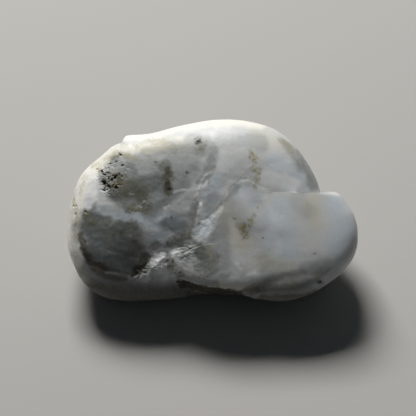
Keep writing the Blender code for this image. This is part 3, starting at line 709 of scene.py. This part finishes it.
def worked_height(points):
    """The height in mm that breakage and wear add to the body at each point, and how deep its pits are."""
    u, v, w = face_coordinates(points)
    shown = smooth(*FEATURES_FROM, levelled(v, w))
    ragged_u = u + uneven(points, RAGGED, 1)
    ragged_v = v + uneven(points, RAGGED, 2)
    polish = patch_share(u, v, POLISHED) * shown
    height = uneven(points, SWELL, 3) + uneven(points, SKIN, 4) * (1.0 - polish)

    for line, high_reach, low_reach, sunk in EDGES:
        gap, step, riser = from_line(ragged_u, ragged_v, line)
        fade = np.exp(-((gap / np.where(gap > 0, high_reach, low_reach)) ** 2))
        height += step * shown * (smooth(-0.5, 0.5, gap / riser) - sunk) * fade

    gap, depth = from_line(ragged_u, ragged_v, GROOVE)
    height -= depth * shown * np.exp(-((gap / GROOVE_WIDTH) ** 2))

    height += crystal_grain(points, patch_share(u, v, GRAIN_PATCHES) * shown)
    turn = math.radians(RIBBED_BAND[4])
    along, across = u * math.cos(turn) + v * math.sin(turn), v * math.cos(turn) - u * math.sin(turn)
    ribbed = np.stack([along / RIB_STRETCH, across, 0.0 * w], axis=1)
    height += uneven(ribbed, RIBS, 14) * patch_share(u, v, [RIBBED_BAND]) * shown
    deep = pit_depth(points, u + uneven(points, TORN, 5), v + uneven(points, TORN, 6), shown)
    return height - deep, deep


def refined(mesh, wanted, longest):
    """Halves the edges that are longer than this between wanted vertices."""
    coarse = [
        edge for edge in mesh.edges
        if wanted[edge.verts[0].index] and wanted[edge.verts[1].index] and edge.calc_length() > longest
    ]
    bmesh.ops.subdivide_edges(mesh, edges=coarse, cuts=1)
    bmesh.ops.triangulate(mesh, faces=mesh.faces[:])
    mesh.verts.index_update()


def vertex_places(mesh):
    return np.array([vertex.co for vertex in mesh.verts])


def stone_mesh():
    """The stone before its flat is worn, and the depth of its pits at every vertex."""
    mesh = bmesh.new()
    bmesh.ops.create_icosphere(mesh, subdivisions=BALL_SUBDIVISIONS, radius=1.0)
    rays = vertex_places(mesh) * BALL_RADII
    points, _ = on_body(rays / np.linalg.norm(rays, axis=1)[:, None])
    for vertex, place in zip(mesh.verts, points):
        vertex.co = place
    u, v, w = face_coordinates(points)
    refined(mesh, levelled(v, w) > FEATURES_FROM[1], FACE_EDGE)

    u, v, w = face_coordinates(vertex_places(mesh))
    rims = [in_patch(u, v, patch) for patch in GRAIN_PATCHES + CRUMBLED_PATCHES]
    in_front = levelled(v, w) > FEATURES_FROM[1]
    refined(mesh, (np.min(rims, axis=0) < FINE_PATCH_RIM) & in_front, FINE_EDGE)
    for longest in (FINE_EDGE, CREST_EDGE):
        u, v, w = face_coordinates(vertex_places(mesh))
        on_crest = (u > CREASE[0][0]) & (u < SHELF_ROUNDED[1]) & (np.abs(v - SHELF_TOP) < CREST_RIM)
        refined(mesh, on_crest & (w > FEATURES_FROM[1]), longest)

    rays = vertex_places(mesh) - HEART
    points, normals = on_body(rays / np.linalg.norm(rays, axis=1)[:, None])
    height, deep = worked_height(points)
    pits = mesh.verts.layers.float.new("pits")
    for vertex, place, pit in zip(mesh.verts, points + normals * height[:, None], deep):
        vertex.co = place
        vertex[pits] = pit
    return mesh


def wear_flat(mesh):
    """Cuts the mesh at z = 0 and closes it with the flat that the stone rests on."""
    everything = mesh.verts[:] + mesh.edges[:] + mesh.faces[:]
    made = bmesh.ops.bisect_plane(
        mesh, geom=everything, plane_co=(0, 0, 0), plane_no=(0, 0, -1), clear_outer=True
    )
    rim = [part for part in made["geom_cut"] if isinstance(part, bmesh.types.BMEdge)]
    bmesh.ops.contextual_create(mesh, geom=rim)
    bmesh.ops.triangulate(mesh, faces=[face for face in mesh.faces if len(face.verts) > 3])
    bmesh.ops.recalc_face_normals(mesh, faces=mesh.faces[:])


def stained(u, v, strokes):
    """How strongly a kind of stain or painted shade shows at each point: full along its strokes, and gone
    outside them.
    """
    stain = np.zeros(len(u))
    for strength, line in strokes:
        far = FADE[1] * max(radius for _, _, radius in line)
        low, high = np.min(line, axis=0) - far, np.max(line, axis=0) + far
        near = (u > low[0]) & (u < high[0]) & (v > low[1]) & (v < high[1])
        gap, radius = from_line(u[near], v[near], line, steps=3)
        stroke = strength * (1.0 - smooth(*FADE, np.abs(gap) / radius))
        stain[near] = np.maximum(stain[near], stroke)
    return stain


mesh = stone_mesh()
wear_flat(mesh)
places = vertex_places(mesh)
bmesh.ops.scale(mesh, verts=mesh.verts[:], vec=(MM, MM, MM))
data = bpy.data.meshes.new("quartz_stone_fine")
mesh.to_mesh(data)
mesh.free()
data.shade_smooth()
data.set_sharp_from_angle(angle=CRISP_ANGLE)
stone = bpy.data.objects.new("quartz_stone_fine", data)
bpy.context.scene.collection.objects.link(stone)

u, v, w = face_coordinates(places)
shown = smooth(*FEATURES_FROM, levelled(v, w))
markings = {"hidden": 1.0 - shown}
markings["polish"] = shown * patch_share(u, v, POLISHED)
# Painted shade along the shelf's crest.
on_shelf = smooth(*SHELF_SHADE_FROM, u) * (1.0 - smooth(*SHELF_SHADE_TO, u))
markings["shelf"] = shown * on_shelf * (1.0 - smooth(*SHELF_SHADE, np.abs(v - SHELF_TOP)))
# Painted shade that darkens the stone towards the bottom.
markings["low_shade"] = 1.0 - smooth(*LOW_SHADE_LINE, places[:, 2] + uneven(places, LOW_SHADE_WAVE, 13))
for name, (strokes, rim) in STAINS_AND_SHADE.items():
    markings[name] = shown * stained(u + uneven(places, rim, 11), v + uneven(places, rim, 12), strokes)
for name, amount in markings.items():
    data.attributes.new(name, "FLOAT", "POINT").data.foreach_set("value", amount)


class Wire:
    """A number or colour between two shader nodes. Python's operators on numbers add Math nodes."""

    def __init__(self, tree, socket=None):
        self.tree = tree
        self.socket = socket

    def node(self, kind, settings=None, sockets=None, output=0):
        """Adds a node: its settings first, then the values or wires of its sockets."""
        node = self.tree.nodes.new(kind)
        for name, value in (settings or {}).items():
            setattr(node, name, value)
        for name, value in (sockets or {}).items():
            if isinstance(value, Wire):
                self.tree.links.new(value.socket, node.inputs[name])
            else:
                node.inputs[name].default_value = value
        return Wire(self.tree, node.outputs[output])

    def maths(self, operation, first, second):
        return self.node("ShaderNodeMath", {"operation": operation}, {0: first, 1: second})

    def __add__(self, other):
        return self.maths("ADD", self, other)

    def __radd__(self, other):
        return self.maths("ADD", other, self)

    def __rsub__(self, other):
        return self.maths("SUBTRACT", other, self)

    def __mul__(self, other):
        return self.maths("MULTIPLY", self, other)

    def __rmul__(self, other):
        return self.maths("MULTIPLY", other, self)

    def between(self, low, high):
        """0 where this number is below low, 1 above high, and an easy S between."""
        sockets = {"Value": self, "From Min": low, "From Max": high}
        return self.node("ShaderNodeMapRange", {"interpolation_type": "SMOOTHSTEP"}, sockets)

    def mixed(self, first, second):
        """The first colour with the second laid over it, as thickly as this number says, from 0 to 1."""
        return self.node("ShaderNodeMix", {"data_type": "RGBA"}, {0: self, 6: first, 7: second}, output=2)


def colour(red, green, blue):
    return (red, green, blue, 1.0)


MILK = colour(0.63, 0.645, 0.65)
BLUE_MILK = colour(0.58, 0.64, 0.70)
# Clearer grey quartz, also used for painted shade.
GREY_QUARTZ_AND_SHADE = colour(0.14, 0.155, 0.158)
BEIGE = colour(0.60, 0.56, 0.43)
CHALK = colour(0.86, 0.87, 0.88)
CREAM = colour(0.875, 0.86, 0.80)
OLIVE = colour(0.13, 0.13, 0.085)
OCHRE = colour(0.34, 0.29, 0.11)
# Dirt, and painted shade under the lip and round the foot.
DIRT_AND_SHADE = colour(0.045, 0.040, 0.026)
# painted shade towards the bottom
LOW_SHADE = colour(0.085, 0.080, 0.070)
GRIT_GREY = colour(0.42, 0.43, 0.42)

# Light goes a little way into the quartz and comes out again, red the farthest.
REFRACTION = 1.544
SCATTERED_SHARE = 0.5
SCATTER_BY_COLOUR = (1.0, 0.97, 0.9)
SCATTER_REACH = 0.7

# What is too fine to be in the mesh: how high it stands, and how much of that height is felt.
RELIEF_HEIGHT = 0.08
RELIEF_STRENGTH = 0.5

finish = bpy.data.materials.new("milky_quartz_finish")
finish.use_nodes = True
shader = finish.node_tree.nodes["Principled BSDF"]
bench = Wire(finish.node_tree)
millimetres = bench.node(
    "ShaderNodeVectorMath",
    {"operation": "SCALE"},
    {0: bench.node("ShaderNodeTexCoord", output=3), "Scale": 1.0 / MM},
)


def mottle(per_mm, detail, roughness=0.6, shift=0.0):
    """Fractal noise with this many blotches to the mm."""
    place = bench.node(
        "ShaderNodeVectorMath", {"operation": "ADD"}, {0: millimetres, 1: (shift, 2.0 * shift, -shift)}
    )
    sockets = {"Vector": place, "Scale": per_mm, "Detail": detail, "Roughness": roughness}
    return bench.node("ShaderNodeTexNoise", sockets=sockets)


def marking(name):
    return bench.node("ShaderNodeAttribute", {"attribute_name": name}, output=2)


hidden, polish = marking("hidden"), marking("polish")
pitted = marking("pits").between(0.05, 0.5)
clouds = mottle(0.12, 4.0)
blotches = mottle(0.45, 5.0, shift=40.0)
flecks = mottle(1.6, 4.0, 0.65, shift=80.0)
grit = mottle(4.5, 3.0, shift=120.0)
speckle = mottle(1.7, 5.0, 0.75, shift=200.0).between(0.44, 0.62)
far_clouds = mottle(0.10, 3.0, shift=160.0)

# Stains, and the painted shade among them, thin out through the noise, so that their rims are torn and
# their middles uneven. In each, the first number in the brackets shows everywhere, and the others come
# and go with the noise.
grey = marking("grey") * (0.57 + 0.4 * blotches + 0.4 * flecks) + hidden * 0.5 * clouds.between(0.42, 0.68)
blue = marking("blue") * (0.6 + 0.7 * clouds) + 0.3 * clouds.between(0.5, 0.7)
beige = marking("beige") * (0.4 + 1.1 * blotches) + 0.18 * hidden
chalk = marking("chalk") * (0.6 + 0.7 * flecks)
cream = marking("cream") * (0.6 + 0.7 * flecks)
iron = marking("olive") + 0.5 * hidden * far_clouds.between(0.52, 0.68)
rust = marking("ochre") + 0.5 * hidden * blotches.between(0.56, 0.74)
olive = iron * (0.3 + 0.8 * speckle) + 0.45 * pitted
ochre = rust * (0.25 + 0.85 * speckle)
dirt_and_shade = marking("dirt_and_shade") * (0.95 + 0.15 * speckle) + 0.25 * pitted
grain = grit.between(0.40, 0.75) * (0.55 - 0.3 * polish)
shelf = 0.65 * marking("shelf")
low_shade = marking("low_shade") * (0.6 + 0.4 * blotches)
specks = grit.between(0.62, 0.72) * (0.15 + 0.5 * marking("olive") + 0.4 * marking("grey"))

skin = blue.mixed(MILK, BLUE_MILK)
skin = grain.mixed(skin, GRIT_GREY)
skin = beige.mixed(skin, BEIGE)
# clear grey quartz, and painted shade at the foot and under the lip
skin = grey.mixed(skin, GREY_QUARTZ_AND_SHADE)
# painted shade along the shelf's crest
skin = shelf.mixed(skin, GREY_QUARTZ_AND_SHADE)
skin = olive.mixed(skin, OLIVE)
skin = chalk.mixed(skin, CHALK)
skin = cream.mixed(skin, CREAM)
skin = ochre.mixed(skin, OCHRE)
# dirt, and painted shade under the lip and round the foot
skin = dirt_and_shade.mixed(skin, DIRT_AND_SHADE)
# painted shade towards the bottom
skin = low_shade.mixed(skin, LOW_SHADE)
skin = specks.mixed(skin, OLIVE)
finish.node_tree.links.new(skin.socket, shader.inputs["Base Color"])

dull = 0.40 + 0.16 * blotches + 0.45 * dirt_and_shade
finish.node_tree.links.new(dull.socket, shader.inputs["Roughness"])
roughened = (0.7 * flecks + 0.3 * grit) * (1.0 - 0.6 * polish)
relief = bench.node(
    "ShaderNodeBump",
    sockets={"Strength": RELIEF_STRENGTH, "Distance": RELIEF_HEIGHT * MM, "Height": roughened},
)
finish.node_tree.links.new(relief.socket, shader.inputs["Normal"])
shader.inputs["IOR"].default_value = REFRACTION
shader.inputs["Subsurface Weight"].default_value = SCATTERED_SHARE
shader.inputs["Subsurface Radius"].default_value = SCATTER_BY_COLOUR
shader.inputs["Subsurface Scale"].default_value = SCATTER_REACH * MM
data.materials.append(finish)

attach(stone, "root")
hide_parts("quartz_stone")

# ------------------------------------------------------------------------------------------------
# The table
#
# The stone lies on a broad sheet of pale, matt card. It is far larger than the view, so that no edge
# of it shows.
# ------------------------------------------------------------------------------------------------

TABLE_SIZE = 3.0
CARD_GREY = colour(0.40, 0.395, 0.385)
CARD_ROUGHNESS = 0.9

bpy.ops.mesh.primitive_plane_add(size=TABLE_SIZE)
table = bpy.context.object
table.name = "table"
paint = bpy.data.materials.new("table_paint")
paint.use_nodes = True
card = paint.node_tree.nodes["Principled BSDF"]
card.inputs["Base Color"].default_value = CARD_GREY
card.inputs["Roughness"].default_value = CARD_ROUGHNESS
table.data.materials.append(paint)

# ------------------------------------------------------------------------------------------------
# The light
#
# A window high up behind the stone grazes its display face, so that every break and pit shows. A very
# faint lamp in front, and the dim room itself, soften the shadows.
# ------------------------------------------------------------------------------------------------

LAMP_AIM = Vector((0.0, 0.0, 0.013))
ROOM_COLOUR = colour(0.85, 0.92, 1.0)
ROOM_STRENGTH = 0.04


def add_lamp(name, toward, distance, size, watts, tint):
    """A soft square lamp, shining at the middle of the stone from this direction."""
    lamp = bpy.data.lights.new(name, "AREA")
    lamp.size = size
    lamp.energy = watts
    lamp.color = tint
    holder = bpy.data.objects.new(name, lamp)
    toward = Vector(toward).normalized()
    holder.location = LAMP_AIM + toward * distance
    holder.rotation_mode = "QUATERNION"
    holder.rotation_quaternion = toward.to_track_quat("Z", "Y")
    bpy.context.scene.collection.objects.link(holder)


add_lamp("window", (-0.20, 0.59, 0.785), 0.75, 0.3, 7.6, (1.0, 0.985, 0.95))
add_lamp("room", (0.5, -0.6, 0.62), 1.0, 0.8, 0.15, (0.9, 0.95, 1.0))

world = bpy.data.worlds.new("studio")
world.use_nodes = True
world.node_tree.nodes["Background"].inputs["Color"].default_value = ROOM_COLOUR
world.node_tree.nodes["Background"].inputs["Strength"].default_value = ROOM_STRENGTH
bpy.context.scene.world = world
bpy.context.scene.view_settings.view_transform = "Standard"

# ------------------------------------------------------------------------------------------------
# The camera
#
# A long lens looks squarely at the display face from nearly half a metre away.
# ------------------------------------------------------------------------------------------------

CAMERA_DISTANCE = 420.0
CAMERA_AIM = FACE_CENTRE - 1.2 * FACE_RIGHT + 0.1 * FACE_UP
LENS = 116
FILM_WIDTH = 24

camera = bpy.data.cameras.new("camera")
camera.lens = LENS
camera.sensor_width = FILM_WIDTH
camera.clip_start = 0.01
viewer = bpy.data.objects.new("camera", camera)
viewer.location = Vector((CAMERA_AIM + CAMERA_DISTANCE * FACE_OUT) * MM)
viewer.rotation_mode = "QUATERNION"
viewer.rotation_quaternion = Vector(FACE_OUT).to_track_quat("Z", "Y")
bpy.context.scene.collection.objects.link(viewer)
bpy.context.scene.camera = viewer
